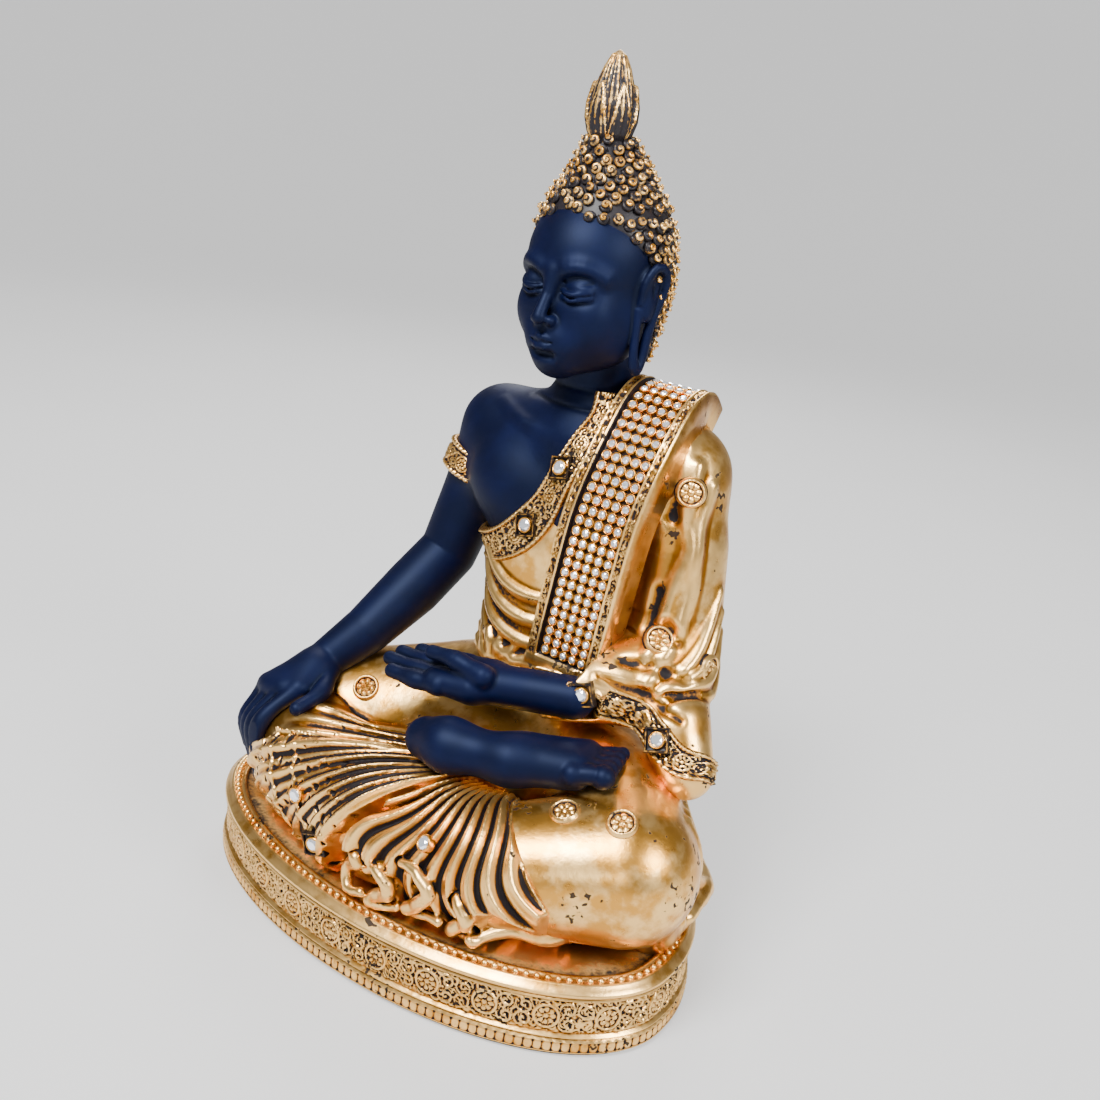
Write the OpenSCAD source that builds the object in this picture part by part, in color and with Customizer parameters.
// Seated Buddha in the earth-touching pose on an oval pedestal: cast and painted sections that
// locate in each other and are glued, with set stones. Millimetres, +Z up. The figure faces -Y
// and its own left side is +X. The origin is the centre of the underside.

/* [Pedestal] */
// Width of the pedestal, side to side
base_w = 152; // [126:1:184]
// Depth of the pedestal, front to back
base_d = 101.8; // [84:0.2:123]
// How far the widest line lies in front of the middle of the depth
widest_shift = 9.8; // [8:0.1:12]
// Height of the pedestal, felt included
base_h = 19.4; // [16:0.2:24]
// Wall of the hollow pedestal
base_wall = 6; // [5:0.5:8]
// Thickness of the plate under the sunken top
top_plate_t = 4; // [3.2:0.2:5]
// Thickness of the felt underneath
felt_t = 1; // [0.8:0.1:1.4]
// Depth of the sunken top inside its rim
top_sink = 1.2; // [1:0.1:1.5]
// Width of the rim around the sunken top
rim_w = 5; // [4:0.5:6]
// Diameter of a rim bead
bead_d = 1.8; // [1.5:0.1:2.2]
// Spacing of the rim beads
bead_pitch = 2.6; // [2.4:0.1:3.2]
// How far the ridges stand out from the relief panel
ridge_out = 1.4; // [1.1:0.1:1.7]
// Height of the ridge under the rim
top_ridge_h = 3; // [2.5:0.1:3.6]
// Height of the foot moulding
foot_h = 4; // [3.3:0.1:4.8]

/* [Figure] */
// Height of the figure from its seat to the tip of the finial
figure_h = 211.8; // [176:0.2:255]
// Thickness of the upper robe over the body
cloth_t = 2; // [1.6:0.1:2.4]
// Clearance between pieces that are glued together
glue = 0.1; // [0.08:0.01:0.15]
// Diameter of the peg that locates the figure in the pedestal
seat_peg_d = 24; // [20:1:29]
// Length of the seat peg
seat_peg_l = 6; // [5:0.5:7.2]
// Diameter of the peg under the finial
finial_peg_d = 5; // [4:0.5:6]
// Length of the finial's peg
finial_peg_l = 8; // [6.5:0.5:10]
// Diameter of the finial at its widest
finial_d = 13.5; // [11:0.5:16]
// Diameter of a hair curl
curl_d = 2.6; // [2.1:0.1:3.1]
// Spacing of the hair curls
curl_pitch = 3.4; // [3.1:0.1:4.2]

/* [Bands] */
// Thickness of the stole in front of the robe
stole_t = 4; // [3.4:0.1:4.8]
// Width of the frame along each edge of the stole
stole_frame_w = 3.4; // [2.8:0.1:4]
// Depth of the channel in the stole
channel_depth = 1.6; // [1.3:0.1:1.9]
// Width of the border along the neckline
neck_border_w = 11; // [9:0.5:13]
// How far the borders stand out
border_t = 1.4; // [1.2:0.1:1.7]
// Radius of the border roll along the cuff
cuff_r = 4.2; // [3.5:0.1:5]
// Height of the armlet along the arm
armlet_h = 9; // [7.5:0.5:11]
// How far the armlet stands out from the arm
armlet_t = 1.8; // [1.5:0.1:2.2]

/* [Stones] */
// Diameter of a stone in the mesh
mesh_stone_d = 2.3; // [1.9:0.1:2.4]
// Spacing of the stones in the mesh
mesh_pitch = 3; // [2.5:0.1:3.6]
// Stones across the mesh
mesh_across = 5; // [4:1:6]
// Rows of stones along the mesh
mesh_rows = 28; // [22:1:29]
// Thickness of the mesh backing
mesh_t = 0.8; // [0.6:0.1:1]
// Height of a mesh stone above the backing
mesh_stone_h = 1; // [0.8:0.1:1.2]
// Diameter of a single set stone
gem_d = 4; // [3.3:0.1:4.8]
// Side of the square setting around a single stone
setting_w = 6.4; // [5.6:0.1:7.6]
// Diameter of a round medallion
medallion_d = 7.6; // [6.5:0.1:9]
// Thickness of a medallion and of a setting
medallion_t = 1.4; // [1.2:0.1:1.7]

/* [Hidden] */

facets = 16;
far = 400;
nominal_h = 211.8;
s = figure_h / nominal_h;
seat_z = base_h - top_sink;
base_front = base_d / 2 - widest_shift;
base_back = base_d / 2 + widest_shift;
bead_inset = rim_w / 2 + ridge_out;
// Columns and rows of stones that there is room for.
stole_room = 23.5;
mesh_columns = min(mesh_across, floor((stole_room * s - 2 * stole_frame_w - 1) / mesh_pitch));
channel_w = mesh_columns * mesh_pitch + 1;
stole_w = channel_w + 2 * stole_frame_w;
// How far the stole reaches behind its middle line, into the folds of the robe.
stole_back = 6 * s;
body_floor = 40;
setting_sink = 0.6;

// Body, limbs and clothes as chains of balls: x, y, height above the seat, radius.
body_levels = [
    [[-5, 32, 48, 15.5], [5, 32, 48, 15.5]],
    [[-4, 31.5, 66, 15], [4, 31.5, 66, 15]],
    [[-6, 31.5, 82, 15.5], [6, 31.5, 82, 15.5]],
    [[-17, 31.5, 100, 15.5], [17, 31.5, 100, 15.5]],
    [[0, 34, 112, 14], [0, 34, 113, 14]]];
neck_balls = [[0, 34, 112, 13], [0, 36, 120, 11.5], [0, 34, 132, 11]];
right_arm_balls = [[-30, 34, 108, 11.5], [-38.5, 26, 68, 8.8], [-44, 0.5, 47, 7.5],
    [-51, -10.5, 37, 5.8], [-51, -17.5, 30, 7], [-51, -21.5, 22, 6], [-50, -22.5, 15, 4.5]];
sleeve_balls = [[31, 32.5, 110, 13], [38, 31.5, 82, 12], [41, 26.5, 62, 12], [28, 4.5, 56, 9],
    [17, -3.5, 53, 7]];
sleeve_fall_balls = [[40, 27, 64, 11], [54, 14, 50, 9], [36, 8, 52, 9]];
left_hand_balls = [[17, -4, 53, 6.2], [0, -13.5, 52, 6], [-14, -16.5, 51, 5],
    [-20, -16.5, 51, 4]];
right_foot_balls = [[10, -23.5, 41, 6.5], [26, -19.5, 42, 7], [43, -8.5, 42.5, 6.5]];
hip_balls = [[-22, 20, 24, 22], [22, 20, 24, 22], [0, 26, 26, 22], [0, 28, 40, 20]];
right_leg_balls = [[-22, 20, 24, 22], [-55.5, -9.5, 19, 16.5], [-34, -26, 18, 14],
    [0, -30, 16, 13]];
left_leg_balls = [[22, 20, 24, 22], [57, -7.5, 21, 18.5], [34, -26, 18, 15], [0, -30, 16, 13]];
lap_balls = [[-22, 0, 20, 14], [22, 0, 20, 14], [0, -20, 18, 12], [0, 14, 22, 20]];
head_levels = [[[0, 28.5, 162, 16.6], [0, 31, 158, 16]], [[0, 25.5, 150, 16]],
    [[0, 22, 143, 11.5]]];
hair_balls = [[0, 29.5, 162, 18.4], [0, 30, 157, 18.2], [0, 31, 146, 16]];
bun_balls = [[0, 29.5, 170, 15], [0, 29.5, 178, 11.2], [0, 26, 188, 6.6]];
ear_balls = [[18.3, 27.5, 158, 2.6], [18, 26.5, 144, 2.4]];
face_front = 19;
hairline = 171;
finial_y = 24;
finial_z = 190;
right_fan_balls = [[-57, -28, 11, 3.4], [-34, -40, 7, 3.4], [-8, -43, 5, 3], [13, -37, 32, 3],
    [19, -29, 46, 3], [-30, -37, 30, 3.4]];
centre_fall_balls = [[22, -42, 32, 3], [5, -43.5, 8, 3], [26, -38.5, 5, 3.2],
    [48, -28, 5, 3.4], [36, -36.5, 30, 3]];

// Middle line of the stole, from the lap up over the left shoulder: x, y, height above the seat.
stole_line = [[20.5, 9.5, 56], [24, 9.5, 83], [25.7, 11.5, 101], [27, 17.5, 116],
    [26, 27, 127.5], [24, 37, 130.5]];
// The neckline border lies in one tilted plane through this point, down to the underarm, where
// it turns level and runs round the bare side.
neck_border_at = [3.2, 0, 100];
neck_border_tilt = 22.6;
underarm = 79;
cuff_line = [[22, -3.5, 57, 0.8], [33, -2, 57.5, 0.9], [48, 1.5, 53, 1], [61, 8, 47, 0.9]];

// Places of the single stones and medallions: a point on the surface, then the turn about Z
// and the lean back that face it outwards.
neckline_gems = [[[-0.8, 14, 90], 0, 8], [[7.3, 15.1, 107.5], 0, 26]];
cuff_gems = [[1, 0.25], [2, 0.45]];
fan_gems = [[[-21, -43.2, 20], -8, 12], [[-10, -45, 12], -6, 8]];
fall_gems = [[[12, -46, 14], 5, 5], [[24, -44.2, 26], 12, 10], [[33, -39, 11], 30, 5],
    [[43, -33.4, 16], 36, 10]];
thigh_medallions = [[[-34.5, -8.5, 34.5], 25, 44], [[46.5, -20.5, 36], -6, 72],
    [[60.5, -16, 37], 23, 60]];
arm_medallions = [[[43, 26.5, 111.5], 52, 10], [[44, 17.5, 72.5], 22, 16],
    [[52.8, 27, 62], 90, 0]];

function plan_point(angle, inset) = [
    (base_w / 2 - inset) * cos(angle),
    ((sin(angle) < 0 ? base_front : base_back) - inset) * sin(angle) - widest_shift];
// Distance run along the rim up to each degree, to space the beads evenly.
rim_run = [for (a = 0, run = 0; a <= 360;
    run = run + norm(plan_point(a + 1, bead_inset) - plan_point(a, bead_inset)), a = a + 1)
    [run, a]];
rim_length = rim_run[360][0];
bead_count = floor(rim_length / bead_pitch);

function on_figure(p) = [p.x * s, p.y * s, seat_z + p.z * s];
// Lean of each stretch of the stole: 0 is upright, 90 lies flat on the shoulder.
function stole_lean(i) = let (a = stole_line[i], b = stole_line[i + 1])
    atan2(b.y - a.y, b.z - a.z);
function stole_step(i) = norm(on_figure(stole_line[i + 1]) - on_figure(stole_line[i]));
function stole_way(i) = (on_figure(stole_line[i + 1]) - on_figure(stole_line[i])) / stole_step(i);
function stole_start(i) = i == 0 ? 0 : stole_start(i - 1) + stole_step(i - 1);
function stole_stretch(run, i = 0) =
    i == len(stole_line) - 2 || run < stole_start(i + 1) ? i : stole_stretch(run, i + 1);
function stole_point(run) = let (i = stole_stretch(run), t = (run - stole_start(i)) / stole_step(i))
    on_figure(stole_line[i]) * (1 - t) + on_figure(stole_line[i + 1]) * t;
// Gap between a point and the tapering stretch from one ball of a chain to the next.
function stretch_gap(p, a, b) = let (from = on_figure(a), line = on_figure(b) - from,
    length = norm(line), along = (p - from) * line / length,
    aside = sqrt(max(0, (p - from) * (p - from) - along * along)),
    taper = (a[3] - b[3]) * s / length,
    foot = max(0, min(length, along - aside * taper / sqrt(1 - taper * taper))))
    norm([aside, along - foot]) - (a[3] * s - taper * foot);
function chain_gap(p, balls) =
    min([for (i = [0:len(balls) - 2]) stretch_gap(p, balls[i], balls[i + 1])]);

module plan_plate(inset, z0, z1) {
    translate([0, 0, z0])
        linear_extrude(z1 - z0) polygon([for (a = [0:5:355]) plan_point(a, inset)]);
}

module ball(b, grow = 0) {
    translate(on_figure(b)) sphere(r = b[3] * s + grow, $fn = facets);
}

module chain(balls, grow = 0) {
    for (i = [0:len(balls) - 2]) hull() {
        ball(balls[i], grow);
        ball(balls[i + 1], grow);
    }
}

// One rounded mass stretched over all the balls.
module web(balls, grow = 0) {
    hull() for (b = balls) ball(b, grow);
}

module levels(rows, grow = 0) {
    for (i = [0:len(rows) - 2]) hull() for (b = concat(rows[i], rows[i + 1])) ball(b, grow);
}

// All the space over a level plane.
module above(height) {
    translate([-far / 2, -far / 2, height]) cube([far, far, far]);
}

module trunk_shape(grow = 0) {
    intersection() {
        levels(body_levels, grow);
        above(seat_z + body_floor * s - grow);
    }
}

module body_shape(grow = 0) {
    trunk_shape(grow);
    chain(neck_balls, grow);
}

module robe_shape(grow = 0) { trunk_shape(cloth_t + grow); }

// The space on the robed side of the neckline, from one edge of the border.
module robed_side(edge) {
    translate(on_figure(neck_border_at)) rotate([0, neck_border_tilt, 0])
        translate([edge, -far / 2, -far / 2]) cube(far);
    mirror([0, 0, 1]) above(edge - seat_z - (underarm * s + neck_border_w / 2));
}

module border_zone() {
    difference() {
        robed_side(-neck_border_w / 2);
        robed_side(neck_border_w / 2);
    }
}

// How the stole leans at each of its points, which is half way between the stretches that meet.
function stole_tilt(i) = i == 0 ? stole_lean(0) : i == len(stole_line) - 1 ? stole_lean(i - 1)
    : (stole_lean(i - 1) + stole_lean(i)) / 2;

// The four corners of the stole's section at one of its points, with a mitre at each bend.
function stole_corners(i, width, back, front, first, over) =
    let (end = len(stole_line) - 1, lean = stole_lean(max(i - 1, 0)), tilt = stole_tilt(i),
        mitre = 1 / cos(tilt - lean),
        middle = on_figure(stole_line[i]) + (i == 0 ? first * stole_way(0)
            : i == end ? over * stole_way(i - 1) : [0, 0, 0]))
    [for (c = [[-1, front], [1, front], [1, -back], [-1, -back]])
        middle + [c[0] * width / 2, -c[1] * mitre * cos(tilt), c[1] * mitre * sin(tilt)]];

// A band along the stole, from behind its middle line to in front of it. First moves the lower
// end, and over carries on past the upper end.
module stole_band(width, back, front, first = 0, over = 0) {
    end = len(stole_line) - 1;
    polyhedron(
        [for (i = [0:end]) each stole_corners(i, width, back, front, first, over)],
        [[0, 1, 2, 3], for (i = [0:end - 1], k = [0:3]) let (a = 4 * i + k, b = 4 * i + (k + 1) % 4)
            each [[a, a + 4, b + 4], [a, b + 4, b]],
            [4 * end + 3, 4 * end + 2, 4 * end + 1, 4 * end]]);
}

module stole_shape(grow = 0) {
    stole_band(stole_w + 2 * grow, stole_back + grow, stole_t + grow, -grow);
}

// Room in front of the stole's channel for the stones that stand out of it.
module mesh_space() {
    stole_band(channel_w, 0, stole_t + mesh_t + mesh_stone_h);
}

module sleeve_shape(grow = 0) {
    chain(sleeve_balls, grow);
    web(sleeve_fall_balls, grow);
}

module legs_shape(grow = 0) {
    web(hip_balls, grow);
    chain(right_leg_balls, grow);
    chain(left_leg_balls, grow);
    web(lap_balls, grow);
}

module drape_shape(grow = 0) {
    web(right_fan_balls, grow);
}

module fall_shape(grow = 0) {
    web(centre_fall_balls, grow);
}

module cuff_shape(grow = 0) {
    chain([for (p = cuff_line) [p.x, p.y, p.z, cuff_r * p[3] / s]], grow);
}

// Puts what faces +Z on the figure at a place: a point, a turn about Z and a lean back.
module facing(place) {
    translate(on_figure(place[0])) rotate([0, 0, place[1]]) rotate([90 - place[2], 0, 0])
        children();
}

module setting_pocket(grow = glue) {
    side = setting_w + 2 * grow;
    translate([-side / 2, -side / 2, -setting_sink - grow]) cube([side, side, far / 20]);
}

module set_stone() {
    difference() {
        translate([-setting_w / 2, -setting_w / 2, -setting_sink])
            cube([setting_w, setting_w, medallion_t]);
        cylinder(d = gem_d + 2 * glue, h = medallion_t, $fn = 48);
    }
    translate([0, 0, glue / 2]) cylinder(d = gem_d, h = medallion_t, $fn = 48);
}

module medallion() {
    translate([0, 0, -setting_sink]) cylinder(d = medallion_d, h = medallion_t, $fn = 48);
}

module medallion_pocket() {
    translate([0, 0, -setting_sink - glue])
        cylinder(d = medallion_d + 2 * glue, h = far / 20, $fn = 24);
}

module pedestal() {
    color("goldenrod") difference() {
        union() {
            plan_plate(0, felt_t, felt_t + foot_h);
            plan_plate(ridge_out, felt_t, base_h);
            plan_plate(ridge_out / 2, base_h - top_ridge_h, base_h - top_ridge_h / 3);
        }
        plan_plate(base_wall + ridge_out, felt_t - 1, seat_z - top_plate_t);
        plan_plate(rim_w + ridge_out, seat_z, base_h + 1);
        difference() {
            plan_plate(bead_inset - bead_d / 2 - glue, base_h - bead_d / 2, base_h + 1);
            plan_plate(bead_inset + bead_d / 2 + glue, base_h - bead_d, base_h + 2);
        }
        translate([0, 0, seat_z - far / 2])
            cylinder(d = seat_peg_d + 2 * glue, h = far, $fn = 64);
    }
}

module rim_beads() {
    color("gold") for (k = [0:bead_count - 1])
        let (angle = lookup((k + 0.5) * rim_length / bead_count, rim_run),
            p = plan_point(angle, bead_inset))
            translate([p.x, p.y, base_h + glue / 2]) sphere(d = bead_d, $fn = 24);
}

module felt_pad() {
    color("darkslategray") plan_plate(ridge_out, 0, felt_t);
}

module lower_robe() {
    color("darkgoldenrod") difference() {
        union() {
            intersection() {
                legs_shape();
                above(seat_z);
            }
            translate([0, 0, seat_z - seat_peg_l])
                cylinder(d = seat_peg_d, h = seat_peg_l + 10 * s, $fn = 32);
        }
        robe_shape(glue);
        chain(right_arm_balls, glue);
        sleeve_shape(glue);
        cuff_shape(glue);
        stole_shape(glue);
        chain(left_hand_balls, glue);
        chain(right_foot_balls, glue);
        drape_shape(glue);
        fall_shape(glue);
        for (place = thigh_medallions) facing(place) medallion_pocket();
        for (place = concat(fan_gems, fall_gems)) facing(place) setting_pocket();
    }
}

module shin_drape() {
    color("khaki") difference() {
        intersection() {
            drape_shape();
            above(seat_z + glue);
        }
        chain(right_arm_balls, glue);
        chain(right_foot_balls, glue);
        for (place = fan_gems) facing(place) setting_pocket();
    }
}

module centre_drape() {
    color("peru") difference() {
        intersection() {
            fall_shape();
            above(seat_z + glue);
        }
        drape_shape(glue);
        for (place = fall_gems) facing(place) setting_pocket();
    }
}

module hem_stones() {
    color("whitesmoke") for (place = concat(fan_gems, fall_gems)) facing(place) set_stone();
}

module torso() {
    color("midnightblue") body_shape();
}

module upper_robe() {
    color("burlywood") difference() {
        intersection() {
            robe_shape();
            robed_side(-neck_border_w / 2);
        }
        body_shape(glue);
        chain(right_arm_balls, glue);
        for (place = neckline_gems) facing(place) setting_pocket();
    }
}

module neckline_border() {
    color("gold") difference() {
        intersection() {
            robe_shape(border_t);
            border_zone();
        }
        robe_shape(glue);
        chain(neck_balls, glue);
        chain(right_arm_balls, glue);
        sleeve_shape(glue);
        stole_shape(glue);
        for (place = neckline_gems) facing(place) setting_pocket();
    }
}

module neckline_stones() {
    color("whitesmoke") for (place = neckline_gems) facing(place) set_stone();
}

module right_arm() {
    color("navy") difference() {
        chain(right_arm_balls);
        body_shape(glue);
    }
}

module armlet() {
    top = on_figure(right_arm_balls[0]);
    elbow = on_figure(right_arm_balls[1]);
    axis = top - elbow;
    middle = elbow * 0.6 + top * 0.4;
    radius = (right_arm_balls[1][3] * 0.6 + right_arm_balls[0][3] * 0.4) * s;
    color("gold") difference() {
        translate(middle) rotate([0, acos(axis.z / norm(axis)), atan2(axis.y, axis.x)])
            cylinder(r = radius + armlet_t, h = armlet_h, center = true, $fn = 24);
        chain(right_arm_balls, glue);
        robe_shape(border_t + glue);
    }
}

module left_sleeve() {
    color("sandybrown") difference() {
        sleeve_shape();
        robe_shape(glue);
        stole_shape(glue);
        mesh_space();
        cuff_shape(glue);
        for (place = arm_medallions) facing(place) medallion_pocket();
    }
}

// The cuff's settings sit on stretches of its border: which stretch, and how far along.
function cuff_place(g) = let (a = cuff_line[g[0]], b = cuff_line[g[0] + 1], t = g[1])
    [[a.x + (b.x - a.x) * t, a.y + (b.y - a.y) * t - cuff_r * 0.62 / s,
        a.z + (b.z - a.z) * t + cuff_r * 0.62 / s], 10, 45];

module cuff_border() {
    color("gold") difference() {
        cuff_shape();
        robe_shape(glue);
        stole_shape(glue);
        for (g = cuff_gems) facing(cuff_place(g)) setting_pocket();
    }
}

module cuff_stones() {
    color("whitesmoke") for (g = cuff_gems) facing(cuff_place(g)) set_stone();
}

module stole() {
    color("orange") difference() {
        stole_band(stole_w, stole_back, stole_t);
        robe_shape(glue);
        stole_band(channel_w, -(stole_t - channel_depth), stole_t + 3, stole_frame_w, 1);
    }
}

module rhinestone_mesh() {
    depth = stole_t - channel_depth + glue;
    color("darkorange") intersection() {
        stole_band(channel_w - 2 * glue, -depth, depth + mesh_t, stole_frame_w + glue);
        above(seat_z);
    }
}

module mesh_stones() {
    lift = stole_t - channel_depth + 2 * glue + mesh_t;
    rows = min(mesh_rows, floor((stole_start(len(stole_line) - 1) - stole_frame_w)
        / (mesh_pitch * 0.94) - 1.4));
    color("white") for (row = [0:rows - 1], col = [0:mesh_columns - 1])
        let (run = stole_frame_w + (row + 0.9) * mesh_pitch * 0.94,
            i = stole_stretch(run))
            translate(stole_point(run)) rotate([-stole_lean(i), 0, 0])
                translate([(col - (mesh_columns - 1) / 2) * mesh_pitch, -lift, 0])
                    rotate([90, 0, 0]) cylinder(d = mesh_stone_d, h = mesh_stone_h, $fn = 24);
}

module left_hand() {
    color("navy") difference() {
        chain(left_hand_balls);
        robe_shape(glue);
        sleeve_shape(glue);
        cuff_shape(glue);
        stole_shape(glue);
    }
}

module right_foot() {
    color("navy") difference() {
        chain(right_foot_balls);
        chain(left_hand_balls, glue);
        sleeve_shape(glue);
        cuff_shape(glue);
    }
}

module head_shape(grow = 0) {
    levels(head_levels, grow);
}

module ears(grow = 0) {
    for (side = [-1, 1]) chain(side_ears(side), grow);
}

module head() {
    color("midnightblue") difference() {
        union() {
            head_shape();
            ears();
        }
        chain(neck_balls, glue);
    }
}

module hair_shape() {
    chain(hair_balls);
    chain(bun_balls);
}

module face_window() {
    translate(on_figure([-30, face_front - 40, hairline - 80]))
        cube([60 * s, 40 * s, 80 * s]);
}

module hair_cap() {
    color("black") difference() {
        hair_shape();
        head_shape(glue);
        ears(glue);
        chain(neck_balls, glue);
        face_window();
        above(on_figure([0, 0, finial_z]).z - glue);
        translate(on_figure([0, finial_y, finial_z]) - [0, 0, finial_peg_l + glue])
            cylinder(d = finial_peg_d + 2 * glue, h = far, $fn = 32);
    }
}

// Rows of curls around the cap and then around the bun, as small balls just off its surface.
function curl_rows(b, from, to) = let (r = b[3] * s + curl_d / 2 + glue)
    [for (up = [from:curl_pitch / r * 180 / PI:to],
        k = [0:round(2 * PI * r * cos(up) / curl_pitch) - 1])
        let (turn = 360 * k / round(2 * PI * r * cos(up) / curl_pitch))
        on_figure(b) + r * [cos(up) * cos(turn), cos(up) * sin(turn), sin(up)]];
function side_ears(side) = [for (b = ear_balls) [side * b.x, b.y, b.z, b[3]]];
curl_neighbours = [hair_balls, bun_balls, side_ears(1), side_ears(-1),
    [for (row = head_levels) row[0]]];
function clear_of_head(p) = let (window = on_figure([0, face_front, hairline]))
    (p.y > window.y + curl_d / 2 || p.z > window.z + curl_d / 2)
    && min([for (balls = curl_neighbours) chain_gap(p, balls)]) > curl_d / 2;
curl_places = [for (p = concat(curl_rows(hair_balls[1], -30, -8), curl_rows(hair_balls[0], 0, 60),
    curl_rows(bun_balls[1], 0, 60))) if (clear_of_head(p)) p];

module hair_curls() {
    color("tan") for (p = curl_places) translate(p) sphere(d = curl_d, $fn = 24);
}

module flame_finial() {
    r = finial_d / 2;
    rise = figure_h + seat_z - on_figure([0, 0, finial_z]).z;
    color("gold") translate(on_figure([0, finial_y, finial_z])) {
        rotate_extrude($fn = 48) polygon([[0, 0], [r * 0.55, 0], [r * 0.85, rise * 0.12],
            [r, rise * 0.27], [r * 0.92, rise * 0.42], [r * 0.62, rise * 0.62],
            [r * 0.28, rise * 0.82], [0, rise]]);
        translate([0, 0, -finial_peg_l]) cylinder(d = finial_peg_d, h = finial_peg_l + 1, $fn = 32);
    }
}

module robe_medallions() {
    color("gold") for (place = thigh_medallions) facing(place) medallion();
}

module sleeve_medallions() {
    color("gold") for (place = arm_medallions) facing(place) medallion();
}

pedestal();
rim_beads();
felt_pad();
lower_robe();
shin_drape();
centre_drape();
hem_stones();
torso();
upper_robe();
neckline_border();
neckline_stones();
right_arm();
armlet();
left_sleeve();
cuff_border();
cuff_stones();
stole();
rhinestone_mesh();
mesh_stones();
left_hand();
right_foot();
head();
hair_cap();
hair_curls();
flame_finial();
robe_medallions();
sleeve_medallions();
